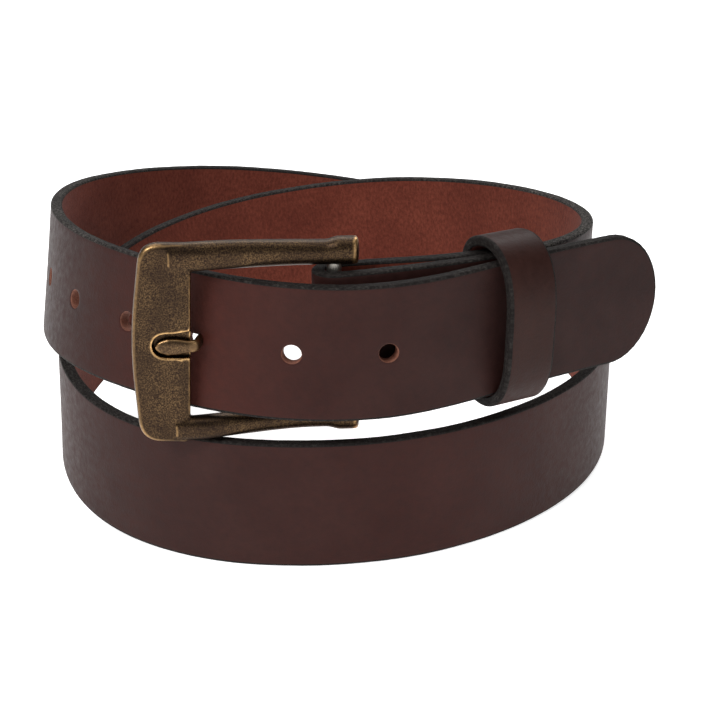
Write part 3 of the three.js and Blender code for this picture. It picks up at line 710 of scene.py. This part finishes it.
class StrapMesh:
    """A stretch of strap: grain and flesh sheets on one grid, a rounded rim and punched holes."""

    def __init__(self, stations, holes):
        self.stations = stations
        self.plane = []     # (s, w) of each sheet vertex
        self.sheet = []     # quads of one sheet
        self.mouths = []    # (vertex loop at a hole's mouth, hole middle s, half length, radius)
        self.grid(holes)
        self.plane = np.array(self.plane)
        self.sway = SWAY * wander([(s, w, 0.0) for s, w in self.plane], 26.0, 3.0)
        self.vertices = []  # arrays of course points
        self.uv = []        # arrays of (s, w) in metres, for the same points
        self.faces = []
        self.slots = []     # material slot of each face

    def grid(self, holes):
        """Rows and columns of quads, with a gap left for each hole."""
        columns = np.linspace(-1, 1, COLUMNS + 1)
        half = np.where(self.stations < TIP_LENGTH, tip_half_width(self.stations, EDGE_BEVEL),
                        STRAP_WIDTH / 2 - EDGE_BEVEL)
        for s, width in zip(self.stations, half):
            self.plane.extend((s, width * c) for c in columns)
        rows, line = len(self.stations), COLUMNS + 1
        taken = np.zeros((rows - 1, COLUMNS), bool)
        column_step = (STRAP_WIDTH - 2 * EDGE_BEVEL) / COLUMNS
        for middle, half_length, radius in holes:
            i = int(np.argmin(np.abs(self.stations - middle)))
            row_step = self.stations[i + 1] - self.stations[i]
            reach_i = math.ceil((half_length + PATCH_MARGIN) / row_step)
            reach_j = math.ceil((radius + PATCH_MARGIN) / column_step)
            j = COLUMNS // 2
            taken[i - reach_i:i + reach_i, j - reach_j:j + reach_j] = True
            self.hole_patch(i, j, reach_i, reach_j, middle, half_length, radius)
        for i in range(rows - 1):
            for j in range(COLUMNS):
                if not taken[i, j]:
                    a = i * line + j
                    self.sheet.append((a, a + 1, a + 1 + line, a + line))

    def hole_patch(self, i, j, reach_i, reach_j, middle, half_length, radius):
        """Rings that lead from the grid's square gap to the hole's mouth."""
        line = COLUMNS + 1
        low_i, high_i, low_j, high_j = i - reach_i, i + reach_i, j - reach_j, j + reach_j
        loop = [(low_i, b) for b in range(low_j, high_j)]
        loop += [(a, high_j) for a in range(low_i, high_i)]
        loop += [(high_i, b) for b in range(high_j, low_j, -1)]
        loop += [(a, low_j) for a in range(high_i, low_i, -1)]
        outer = [a * line + b for a, b in loop]
        edge = np.array([self.plane[v] for v in outer]) - (middle, 0)
        mouth_radius = radius + MOUTH_MARGIN
        mouth_length = half_length + MOUTH_MARGIN
        angles = np.arctan2(edge[:, 1] / mouth_radius, edge[:, 0] / mouth_length)
        spread = np.arctan2(np.sin(angles) * mouth_radius, np.cos(angles) * mouth_length)
        inner = hole_outline(spread, mouth_length, mouth_radius)
        previous = outer
        for ring in range(1, PATCH_RINGS + 1):
            t = ring / PATCH_RINGS
            places = edge * (1 - t) + inner * t + (middle, 0)
            start = len(self.plane)
            self.plane.extend(map(tuple, places))
            current = list(range(start, start + len(outer)))
            for k in range(len(outer)):
                n = (k + 1) % len(outer)
                self.sheet.append((previous[k], previous[n], current[n], current[k]))
            previous = current
        self.mouths.append((previous, middle, half_length, radius))

    def boundary(self, open_start, open_end):
        """Rim vertices in order, and whether they close: the rim is open where the strap goes on."""
        line, rows = COLUMNS + 1, len(self.stations)
        upper = [i * line + COLUMNS for i in range(rows)]
        lower = [i * line for i in range(rows)]
        start = [] if open_start else list(range(1, COLUMNS))
        end = [] if open_end else [(rows - 1) * line + j for j in range(COLUMNS - 1, 0, -1)]
        if open_end:
            return lower[::-1] + start + upper, False
        return upper + end + lower[::-1] + start, not open_start

    def build(self, name, open_start, open_end):
        """Both sheets, the rim and the holes' walls, as one object."""
        count, half = len(self.plane), STRAP_THICKNESS / 2
        for offset in (half, -half):
            self.add_points(self.plane, offset, self.sway, self.plane)
        self.add_faces([tuple(reversed(f)) for f in self.sheet], GRAIN_SLOT)
        self.add_faces([tuple(v + count for v in f) for f in self.sheet], FLESH_SLOT)
        self.rim(*self.boundary(open_start, open_end))
        for mouth in self.mouths:
            self.wall(*mouth)
        points, uv = np.vstack(self.vertices), np.vstack(self.uv)
        looks = [GRAIN, FLESH, EDGE, PUNCHED]
        obj = make_object(name, to_row(points), self.faces, looks, self.slots, uv)
        outward(obj)
        for tone, rows in STRAP_TONES.items():
            places, values = zip(*rows)
            set_point_values(obj, tone, np.interp(uv[:, 0] / MM, places, values).astype(np.float32))
        return obj

    def add_points(self, places, offset, sway, uv):
        """Points at (s, w) places, offset out of the strap's middle; gives their indices."""
        first = sum(len(block) for block in self.vertices)
        self.vertices.append(on_strap(places[:, 0], places[:, 1], offset + sway))
        self.uv.append(uv * MM)
        return list(range(first, first + len(places)))

    def add_faces(self, faces, slot):
        self.faces += faces
        self.slots += [slot] * len(faces)

    def rim(self, chain, closed):
        """The rounded bevels and the flat cut edge round the outline."""
        edge = self.plane[chain]
        if closed:
            tangent = np.roll(edge, -1, axis=0) - np.roll(edge, 1, axis=0)
        else:
            tangent = np.gradient(edge, axis=0)
        side = side_normals(edge, unit(tangent))
        half = STRAP_THICKNESS / 2
        bevel = [(EDGE_BEVEL * math.sin(a), half - EDGE_BEVEL * (1 - math.cos(a)))
                 for a in np.radians([18, 36, 54, 72, 90])]
        flats = [(EDGE_BEVEL, o) for o in (0.45, 0.0, -0.45)]
        profile = bevel + flats + [(d, -o) for d, o in reversed(bevel)]
        rings, n = [list(chain)], len(chain)
        wave = EDGE_WAVE * wander([(s, w, 0.0) for s, w in edge], 14.0, 5.0)
        for k, (reach, offset) in enumerate(profile):
            rough = EDGE_ROUGHNESS * wander([(s, w, offset) for s, w in edge], 1.6, 11.0 + k)
            rough += wave
            places = edge + side * (reach + rough * reach / EDGE_BEVEL)[:, None]
            uv = np.stack([edge[:, 0], edge[:, 1] + offset], axis=-1)
            rings.append(self.add_points(places, offset, self.sway[chain], uv))
        rings.append([v + len(self.plane) for v in chain])
        for above, below in zip(rings, rings[1:]):
            spans = [(a, (a + 1) % n) for a in range(n if closed else n - 1)]
            self.add_faces([(above[a], above[b], below[b], below[a]) for a, b in spans], EDGE_SLOT)

    def wall(self, ring, middle, half_length, radius):
        """A punched hole's wall, with its mouths rolled in."""
        edge = self.plane[ring] - (middle, 0)
        angles = np.arctan2(edge[:, 1], edge[:, 0])
        half = STRAP_THICKNESS / 2
        rings = [ring]
        for grow, offset in [(0.16, half - 0.1), (0.02, half - 0.32), (0.0, half - 0.8), (0.02, 0.0),
                             (0.0, -half + 0.5), (0.12, -half + 0.1)]:
            places = hole_outline(angles, half_length + grow, radius + grow) + (middle, 0)
            rings.append(self.add_points(places, offset, self.sway[ring], places))
        rings.append([v + len(self.plane) for v in ring])
        spans = [(a, (a + 1) % len(ring)) for a in range(len(ring))]
        for k, (above, below) in enumerate(zip(rings, rings[1:])):
            quads = [(above[a], below[a], below[b], above[b]) for a, b in spans]
            self.add_faces(quads, GRAIN_SLOT if k == 0 else WALL_SLOT)


def make_strap():
    """The punched end and the rest of the strap, which meet on one row at the seam."""
    radius = HOLE_DIAMETER / 2
    holes = [(FIRST_HOLE_AT + i * HOLE_PITCH, radius, radius) for i in range(HOLE_COUNT)]
    holes[USED_HOLE] = (USED_HOLE_AT, USED_HOLE_LENGTH / 2, USED_HOLE_DIAMETER / 2)
    seam = punched_rows(SEAM_AT - ROW_STEP / 2, SEAM_AT + ROW_STEP / 2)[0]
    tail_rows = np.concatenate([tip_stations(), punched_rows(TIP_LENGTH + 0.8, seam + ROW_STEP / 2)])
    tail = StrapMesh(tail_rows, [h for h in holes if h[0] < seam]).build("tail_leather", False, True)
    fold = fold_rows()
    coil = punched_rows(seam - ROW_STEP / 2, fold[0] - ROW_STEP / 2)
    flap = np.linspace(fold[-1], STRAP_END_AT - EDGE_BEVEL, FLAP_ROWS + 1)[1:]
    slot = ((BAR_AT + FLAP_AT) / 2, (FLAP_AT - BAR_AT) / 2 + SLOT_REACH, SLOT_WIDTH / 2)
    rest = [h for h in holes if h[0] > seam] + [slot]
    strap = StrapMesh(np.concatenate([coil, fold, flap]), rest).build("strap_leather", True, False)
    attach(strap, "coil")
    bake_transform(tail)
    for obj, node in ((strap, "strap"), (tail, "strap_tail")):
        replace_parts(obj, node)


# ---- Screws and hinge bar

def strap_axes(s):
    """Rows: along, across, out, at one length."""
    return np.array([at(ALONG, s), at(ACROSS, s), at(OUT, s)])


def make_screws():
    """Two barrel nuts from the front and two slotted screws from the back, through both plies."""
    stack = 2 * STRAP_THICKNESS + PLY_GAP
    front = STRAP_THICKNESS / 2 + SCREW_CLEARANCE
    back = front - stack - 2 * SCREW_CLEARANCE
    r, t = SCREW_HEAD_DIAMETER / 2, SCREW_HEAD_THICKNESS
    head = [(0.02, t), (r * 0.4, t * 0.98), (r * 0.75, t * 0.86), (r * 0.92, t * 0.6), (r, t * 0.3),
            (r, 0.0)]
    s = BAR_AT - SCREW_FROM_BAR
    axes = strap_axes(s)
    for name, side in (("upper", 1), ("lower", -1)):
        centre = on_strap([s], [side * SCREW_SPACING / 2], [0])[0]
        barrel = [(2.5, front), (2.5, back + 0.3), (1.7, back + 0.3), (1.7, front - 0.3),
                  (0.02, front - 0.3)]
        nut = [(q, front + h) for q, h in head] + barrel
        points, faces = lathe(nut, 48, centre, axes)
        obj = make_object(f"nut_{name}", to_row(points), faces, [STEEL])
        outward(obj)
        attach(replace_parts(obj, f"barrel_nut_{name}"), "coil")
        shank = [(1.4, back), (1.4, front - 1.0), (0.02, front - 1.0)]
        screw = [(q, back - h) for q, h in head] + shank
        points, faces = lathe(screw, 48, centre, axes)
        obj = make_object(f"screw_{name}", to_row(points), faces, [STEEL])
        outward(obj)
        cut(obj, driver_slot(centre + axes[2] * (back - t), axes))
        sharpen(obj)
        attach(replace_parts(obj, f"belt_screw_{name}"), "coil")


def driver_slot(centre, axes):
    """A long thin block that cuts the slot across a screw's head."""
    half = np.array([SCREW_HEAD_DIAMETER, 0.55, 0.5])
    corners = np.array([(x, y, z) for x in (-1, 1) for y in (-1, 1) for z in (-1, 1)]) * half
    faces = [(0, 1, 3, 2), (4, 6, 7, 5), (0, 4, 5, 1), (2, 3, 7, 6), (0, 2, 6, 4), (1, 5, 7, 3)]
    return make_object("driver_slot", to_row(corners @ axes + centre), faces, [])


def sharpen(obj, degrees=35):
    """Splits the shading where the surface turns sharply."""
    bm = bmesh.new()
    bm.from_mesh(obj.data)
    for edge in bm.edges:
        edge.smooth = len(edge.link_faces) != 2 or edge.calc_face_angle(0) < math.radians(degrees)
    bm.to_mesh(obj.data)
    bm.free()


def make_hinge_bar():
    half, r = BAR_LENGTH / 2, BAR_DIAMETER / 2
    c = BAR_CHAMFER
    profile = [(0.02, -half), (r - c, -half), (r, -half + c), (r, half - c), (r - c, half), (0.02, half)]
    points, faces = lathe(profile, 48, (0, 0, 0), np.eye(3))
    obj = make_object("hinge_pin", buckle_to_row(points), faces, [STEEL])
    outward(obj)
    sharpen(obj)
    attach(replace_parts(obj, "hinge_bar"), "frame")


# ---- Buckle casting

def plate_outline(inset):
    """The plate's outline from its lower right corner, clockwise, as (x, z)."""
    half = PLATE_HEIGHT / 2
    side = PLATE_LEFT + PLATE_BULGE
    corners = [
        ((PLATE_RIGHT, -half), 1.6), ((side, -half), 7.0), ((side - 1.4 * PLATE_BULGE, 0.0), 400.0),
        ((side, half), 6.0), ((PLATE_RIGHT, half), 1.2),
    ]
    return rounded_polygon(corners, inset)


def rounded_polygon(corners, inset, steps=9):
    """A polygon with each corner rounded to its radius, all drawn in by inset."""
    points = np.array([p for p, _ in corners], float)
    n = len(points)
    outline = []
    for k, (corner, radius) in enumerate(corners):
        before, after = points[k - 1], points[(k + 1) % n]
        a, b = unit(before - corner), unit(after - corner)
        half_angle = math.acos(np.clip(a @ b, -1, 1)) / 2
        reach = min(radius / math.tan(half_angle), 0.45 * np.linalg.norm(before - corner),
                    0.45 * np.linalg.norm(after - corner))
        start, end = corner + a * reach, corner + b * reach
        for t in np.linspace(0, 1, steps):
            outline.append((1 - t) ** 2 * start + 2 * t * (1 - t) * np.array(corner) + t**2 * end)
    outline = np.array(outline)
    tangent = unit(np.roll(outline, -1, axis=0) - np.roll(outline, 1, axis=0))
    return outline - side_normals(outline, tangent) * inset


def make_plate():
    """The front plate: layers of its outline, a chamfer along its right edge, and a slight lean."""
    back = PLATE_FRONT + PLATE_THICKNESS
    layers = [(0.7, back), (0.15, back - 0.5), (0.0, back - 1.1), (0.0, PLATE_FRONT + 1.3),
              (0.22, PLATE_FRONT + 0.6), (0.65, PLATE_FRONT + 0.18), (1.15, PLATE_FRONT)]
    rings = []
    for inset, depth in layers:
        outline = plate_outline(inset)
        rings.append(np.stack([outline[:, 0], np.full(len(outline), depth), outline[:, 1]], axis=-1))
    count = len(rings[0])
    plate = make_object("plate", np.vstack(rings), tube_faces(len(rings), count), [])
    outward(plate)
    work = bmesh.new()
    work.from_mesh(plate.data)
    slope = Vector((CHAMFER_SLOPE, -1.0, 0.0)).normalized()
    everything = work.verts[:] + work.edges[:] + work.faces[:]
    cut_at = Vector((PLATE_RIGHT - CHAMFER_WIDTH, PLATE_FRONT, 0.0))
    made = bmesh.ops.bisect_plane(work, geom=everything, plane_co=cut_at, plane_no=slope, clear_outer=True)
    edges = [e for e in made["geom_cut"] if isinstance(e, bmesh.types.BMEdge)]
    bmesh.ops.contextual_create(work, geom=edges)
    middle = Vector(((PLATE_LEFT + PLATE_RIGHT) / 2, 0, 0))
    bmesh.ops.rotate(work, cent=middle, matrix=Matrix.Rotation(PLATE_LEAN, 3, "Y"), verts=work.verts)
    work.to_mesh(plate.data)
    work.free()
    return plate


def ease(t):
    """A smooth step from 0 to 1."""
    t = np.clip(t, 0, 1)
    return t * t * (3 - 2 * t)


def make_arm(side):
    """A rounded arm that runs back from behind the plate to its thick end round the bar."""
    lap = PLATE_FRONT + PLATE_THICKNESS / 2
    line, along = smooth_line([
        (PLATE_RIGHT - 5, lap + 0.3), (PLATE_RIGHT + 2, lap + 0.5), (-26, -1.5), (-12, 0), (0, 0),
        (BOSS_REACH, 0),
    ], 110)
    rings = []
    for (x, y), (ax, ay) in zip(line, along):
        height = ARM_ROOT_HEIGHT + (ARM_HEIGHT - ARM_ROOT_HEIGHT) * ease((x - PLATE_RIGHT) / ARM_SLIMS_OVER)
        knuckle = ease((x + 2.5) / 4)
        height += BOSS_RISE * knuckle
        thick = ARM_THICKNESS + 0.8 * knuckle - 0.7 * ease((PLATE_RIGHT + 5 - x) / 6)
        close = np.clip((x - BOSS_REACH + ARM_END_ROUNDING) / ARM_END_ROUNDING, 0, 0.995)
        inner = OPENING_HEIGHT / 2
        if side > 0:
            inner -= UPPER_ARM_DROP
            height += UPPER_ARM_DROP
        middle = side * (inner + height / 2)
        thick *= math.sqrt(1 - close**2)
        section = rounded_section(thick, height * math.sqrt(1 - close**7), 2.5, 28)
        rings.append([(x - ay * a, y + ax * a, middle + b) for a, b in section])
    return make_object("arm", np.vstack(rings), tube_faces(len(rings), 28), [])


def notch_tool():
    """The round-ended block that cuts the prong's notch into the plate's face."""
    half = NOTCH_HEIGHT / 2
    end = PLATE_RIGHT - NOTCH_DEPTH
    radius = half - NOTCH_TRIM
    angles = np.linspace(math.pi / 2, 3 * math.pi / 2, 17)
    arc = [(end + radius + radius * math.cos(a), radius * math.sin(a)) for a in angles]
    outline = [(PLATE_RIGHT + 2, -half - 0.1), (PLATE_RIGHT + 2, half + 0.1)] + arc
    front, back = PLATE_FRONT - 1, PLATE_FRONT + NOTCH_POCKET
    rings = [[(x, front, z) for x, z in outline], [(x, back, z) for x, z in outline]]
    return make_object("notch", np.vstack(rings), tube_faces(2, len(outline)), [])


def edge_wear(obj, reach, gain, threshold):
    """Marks the points that stand out from their smoothed surroundings, where metal rubs bright."""
    work = bmesh.new()
    work.from_mesh(obj.data)
    count = len(work.verts)
    pairs = np.array([[v.index for v in e.verts] for e in work.edges])
    co = np.array([v.co for v in work.verts])
    normals = np.array([v.normal for v in work.verts])
    work.free()
    degree = np.bincount(pairs.ravel(), minlength=count)[:, None]

    def average(values):
        total = np.zeros_like(values)
        np.add.at(total, pairs[:, 0], values[pairs[:, 1]])
        np.add.at(total, pairs[:, 1], values[pairs[:, 0]])
        return (values + total) / (degree + 1)

    smooth = co.copy()
    for _ in range(reach):
        smooth = average(smooth)
    proud = ((co - smooth) * normals).sum(axis=1)[:, None]
    proud = average(average(proud))[:, 0]
    set_point_values(obj, "wear", np.clip(proud * gain - threshold, 0, 1).astype(np.float32))


def to_buckle_place(obj):
    """Moves a mesh from buckle mm to its place in the row frame."""
    co = np.zeros(3 * len(obj.data.vertices))
    obj.data.vertices.foreach_get("co", co)
    obj.data.vertices.foreach_set("co", buckle_to_row(co.reshape(-1, 3)).ravel())
    obj.data.update()


def make_buckle():
    """The plate and both arms fused to one casting, then notched."""
    buckle = join([make_plate(), make_arm(1), make_arm(-1)], "buckle_casting")
    cast(buckle, voxel=0.3, rounds=2)
    cut(buckle, notch_tool())
    cast(buckle, voxel=0.24, rounds=5)
    edge_wear(buckle, reach=14, gain=12.0, threshold=0.6)
    to_buckle_place(buckle)
    buckle.data.materials.clear()
    buckle.data.materials.append(BRASS)
    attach(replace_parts(buckle, "buckle_frame"), "frame")


def make_prong():
    """The tongue from its eye on the bar, through the strap, to its flattened end in the notch."""
    seat = PLATE_FRONT + NOTCH_POCKET - 0.3 - PRONG_THICKNESS / 2
    tip = PLATE_RIGHT - NOTCH_DEPTH + 0.6
    line, along = smooth_line([
        (1, PRONG_THICKNESS / 2 - PRONG_EYE_RADIUS), (-10, -2.4), (-20, -0.2), (-27.6, 2.6), (-32.4, 3.7),
        (-35.1, 2.4), (-36.2, -0.4), (-36.7, -2.2), (-37.1, seat + 0.8), (-38.2, seat), (-41, seat),
        (tip + 0.1, seat),
    ], 150)
    widths = [(tip, 0.5), (tip + 0.5, 1.8), (tip + 1.4, 3.4), (tip + 3.4, 4.7), (tip + 6, 4.6),
              (tip + 9, 3.4), (-8, 3.2), (-3, PRONG_EYE_WIDTH), (3, PRONG_EYE_WIDTH)]
    depths = [(tip, 0.6), (tip + 1.0, 1.5), (tip + 3.4, 2.1), (tip + 9, 2.0), (3, 2.0)]
    rings = []
    for (x, y), (ax, ay) in zip(line, along):
        width = np.interp(x, *zip(*widths))
        depth = np.interp(x, *zip(*depths))
        section = rounded_section(depth, width, 2.4, 24)
        rings.append([(x - ay * a, y + ax * a, b) for a, b in section])
    blade = make_object("blade", np.vstack(rings), tube_faces(len(rings), 24), [])
    half, r, bore = PRONG_EYE_WIDTH / 2, PRONG_EYE_RADIUS, BAR_DIAMETER / 2 + BAR_CLEARANCE
    profile = [(bore, -half + 0.2), (bore + 0.2, -half), (r - 0.4, -half), (r, -half + 0.4),
               (r, half - 0.4), (r - 0.4, half), (bore + 0.2, half), (bore, half - 0.2)]
    points, _ = lathe(profile, 40, (0, 0, 0), np.eye(3))
    eye = make_object("eye", points, tube_faces(len(profile), 40, closed=True), [])
    prong = join([blade, eye], "prong_casting")
    cast(prong, voxel=0.2, rounds=3)
    edge_wear(prong, reach=12, gain=9.0, threshold=0.25)
    prong.data.transform(Matrix.Rotation(-PRONG_DROOP, 4, "Y"))
    to_buckle_place(prong)
    prong.data.materials.clear()
    prong.data.materials.append(PRONG_BRASS)
    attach(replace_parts(prong, "prong"), "tongue")


# ---- Keeper

def tail_stand_off(s):
    """How far the tail's middle stands out from the billet's, at length s."""
    tail = FRAME_S < TAIL_JOINT_AT
    gap = CENTRE[tail] - at(CENTRE, s)
    nearest = np.argmin(np.abs(gap @ at(ALONG, s)))
    return gap[nearest] @ at(OUT, s)


def keeper_line(front, back, half):
    """The keeper's inner outline in its own plane, from the seam up and round: (out, up)."""
    turn = np.linspace(math.pi, -math.pi, 1441)
    facing = np.cos(turn) > 0
    reach = np.where(facing, front - KEEPER_MIDDLE, KEEPER_MIDDLE - back)
    power = np.where(facing, KEEPER_FRONT_POWER, KEEPER_BACK_POWER)
    up = half * np.sign(np.sin(turn)) * np.abs(np.sin(turn)) ** (2 / power)
    points = np.stack([KEEPER_MIDDLE + reach * np.cos(turn), up], axis=-1)
    length = lengths_along(points)
    even = np.linspace(KEEPER_SEAM / 2, length[-1] - KEEPER_SEAM / 2, 240)
    return np.stack([np.interp(even, length, points[:, k]) for k in range(2)], axis=-1)


def keeper_section():
    """The loop's cross-section, (out from its lining, along the strap), and its sides' slots."""
    t, w, b = KEEPER_LEATHER, KEEPER_WIDTH / 2, 0.8
    arc = np.radians([0, 22, 45, 68, 90])
    outer = [(t - b + b * math.cos(a), w - b + b * math.sin(a)) for a in arc]
    inner = [(0.5 - 0.5 * math.sin(a), w - 0.5 + 0.5 * math.cos(a)) for a in arc]
    face = [(t, x) for x in np.linspace(-w + b, w - b, 18)[1:-1]]
    lining = [(0.0, x) for x in np.linspace(w - 0.5, -w + 0.5, 12)[1:-1]]
    right = outer + inner
    left = [(o, -x) for o, x in reversed(right)]
    section = face + right + lining + left
    rounding = [EDGE_SLOT] * (len(right) - 1)
    slots = [GRAIN_SLOT] * len(face) + rounding + [FLESH_SLOT] * (len(lining) + 1)
    slots += rounding + [GRAIN_SLOT]
    return np.array(section), slots


def make_keeper():
    """The leather loop round billet, flap and tail, and the staples that close it behind."""
    s = BAR_AT - KEEPER_FROM_BAR
    front = tail_stand_off(s) + STRAP_THICKNESS / 2 + KEEPER_FRONT_SLACK
    back = -1.5 * STRAP_THICKNESS - PLY_GAP - KEEPER_BACK_SLACK
    half = STRAP_WIDTH / 2 + KEEPER_HEADROOM
    line = keeper_line(front, back, half)
    tangent = unit(np.gradient(line, axis=0))
    for _ in range(3):
        tangent[1:-1] = unit(tangent[:-2] + tangent[1:-1] * 2 + tangent[2:])
    normal = np.stack([-tangent[:, 1], tangent[:, 0]], axis=-1)
    section, slots = keeper_section()
    axes, centre = strap_axes(s), on_strap([s], [0], [0])[0]
    travel = lengths_along(line)
    vertices, uv = [], []
    for k, (point, side) in enumerate(zip(line, normal)):
        for depth, offset in section:
            wave = 0.08 * noise.noise(Vector((travel[k] / 9.0, offset, 4.0))) * (abs(offset) > 5)
            out, up = point + side * depth
            vertices.append(centre + axes[2] * out + axes[1] * up + axes[0] * (offset + wave))
            uv.append((travel[k] * MM + 2.0, (offset + depth) * MM))
    count = len(section)
    faces = tube_faces(len(line), count)
    materials = slots * (len(line) - 1) + [EDGE_SLOT] * 2
    obj = make_object("keeper_loop", to_row(vertices), faces, [KEEPER_GRAIN, FLESH, EDGE], materials, uv)
    outward(obj)
    for name, value in KEEPER_TONES.items():
        set_point_values(obj, name, [value] * len(obj.data.vertices))
    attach(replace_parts(obj, "keeper"), "loop")
    make_staples(centre, axes, back - KEEPER_LEATHER)


def make_staples(centre, axes, back):
    """Two bent wires across the keeper's seam."""
    half, wire = STAPLE_SPAN / 2 - STAPLE_WIRE / 2, STAPLE_WIRE / 2
    crown = back - wire - PLY_GAP
    corner = 0.6
    route = [(crown + wire + STAPLE_LEG, -half), (crown + corner, -half), (crown + 0.15, -half + 0.15),
             (crown, -half + corner), (crown, 0), (crown, half - corner), (crown + 0.15, half - 0.15),
             (crown + corner, half), (crown + wire + STAPLE_LEG, half)]
    line, along = smooth_line(route, 48)
    section = rounded_section(STAPLE_WIRE * 0.9, STAPLE_WIRE * 0.9, 2.6, 12)
    for name, side in (("left", 1), ("right", -1)):
        rings = []
        for (out, up), (ax, ay) in zip(line, along):
            for a, b in section:
                place = axes[2] * (out - ay * a) + axes[1] * (up + ax * a)
                rings.append(centre + place + axes[0] * (side * STAPLE_OFFSET + b))
        obj = make_object(f"staple_{name}", to_row(rings), tube_faces(len(line), 12), [STEEL])
        outward(obj)
        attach(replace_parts(obj, f"keeper_staple_{name}"), "loop")


# ---- Studio

FLOOR_HALF = 4.0
LIGHT_AIM = (0, -0.03, 0.05)
WORLD_STRENGTH = 0.15

# Each soft light's name, place and size in m, and power in W.
SOFT_LIGHTS = [
    ("key", (-0.55, -0.55, 0.75), (0.5, 0.4), 6),
    ("fill", (0.7, -0.75, 0.45), (0.6, 0.5), 1.5),
    ("back", (0.0, 0.9, 0.9), (1.6, 0.5), 8),
    ("top", (0.0, 0.0, 1.2), (1.2, 1.2), 6),
]


def make_camera():
    camera = bpy.data.cameras.new("camera")
    camera.lens = CAMERA_LENS_MM
    camera.sensor_width = 36
    camera.clip_end = 20
    obj = put_in_scene("camera", camera)
    aim = Vector(to_row(CAMERA_AIM_COURSE))
    back = Vector((0, -math.cos(CAMERA_ELEVATION), math.sin(CAMERA_ELEVATION)))
    obj.location = aim + back * CAMERA_DISTANCE
    obj.rotation_euler = (-back).to_track_quat("-Z", "Y").to_euler()
    bpy.context.scene.camera = obj


def soft_light(name, place, size, power):
    light = bpy.data.lights.new(name, "AREA")
    light.shape = "RECTANGLE"
    light.size, light.size_y = size
    light.energy = power
    obj = put_in_scene(name, light)
    obj.location = place
    obj.rotation_euler = (Vector(LIGHT_AIM) - Vector(place)).to_track_quat("-Z", "Y").to_euler()


def make_studio():
    """A wide pale floor, four soft lights and a faint white surround."""
    h = FLOOR_HALF
    corners = [(-h, -h, 0), (h, -h, 0), (h, h, 0), (-h, h, 0)]
    floor = make_object("floor", corners, [(0, 1, 2, 3)], [studio_floor("floor_paper")])
    for light in SOFT_LIGHTS:
        soft_light(*light)
    world = bpy.data.worlds.new("studio")
    world.use_nodes = True
    background = world.node_tree.nodes["Background"]
    background.inputs["Color"].default_value = (1, 1, 1, 1)
    background.inputs["Strength"].default_value = WORLD_STRENGTH
    bpy.context.scene.world = world
    bpy.context.scene.view_settings.view_transform = "Standard"


make_camera()
make_strap()
make_screws()
make_hinge_bar()
make_buckle()
make_prong()
make_keeper()
make_studio()
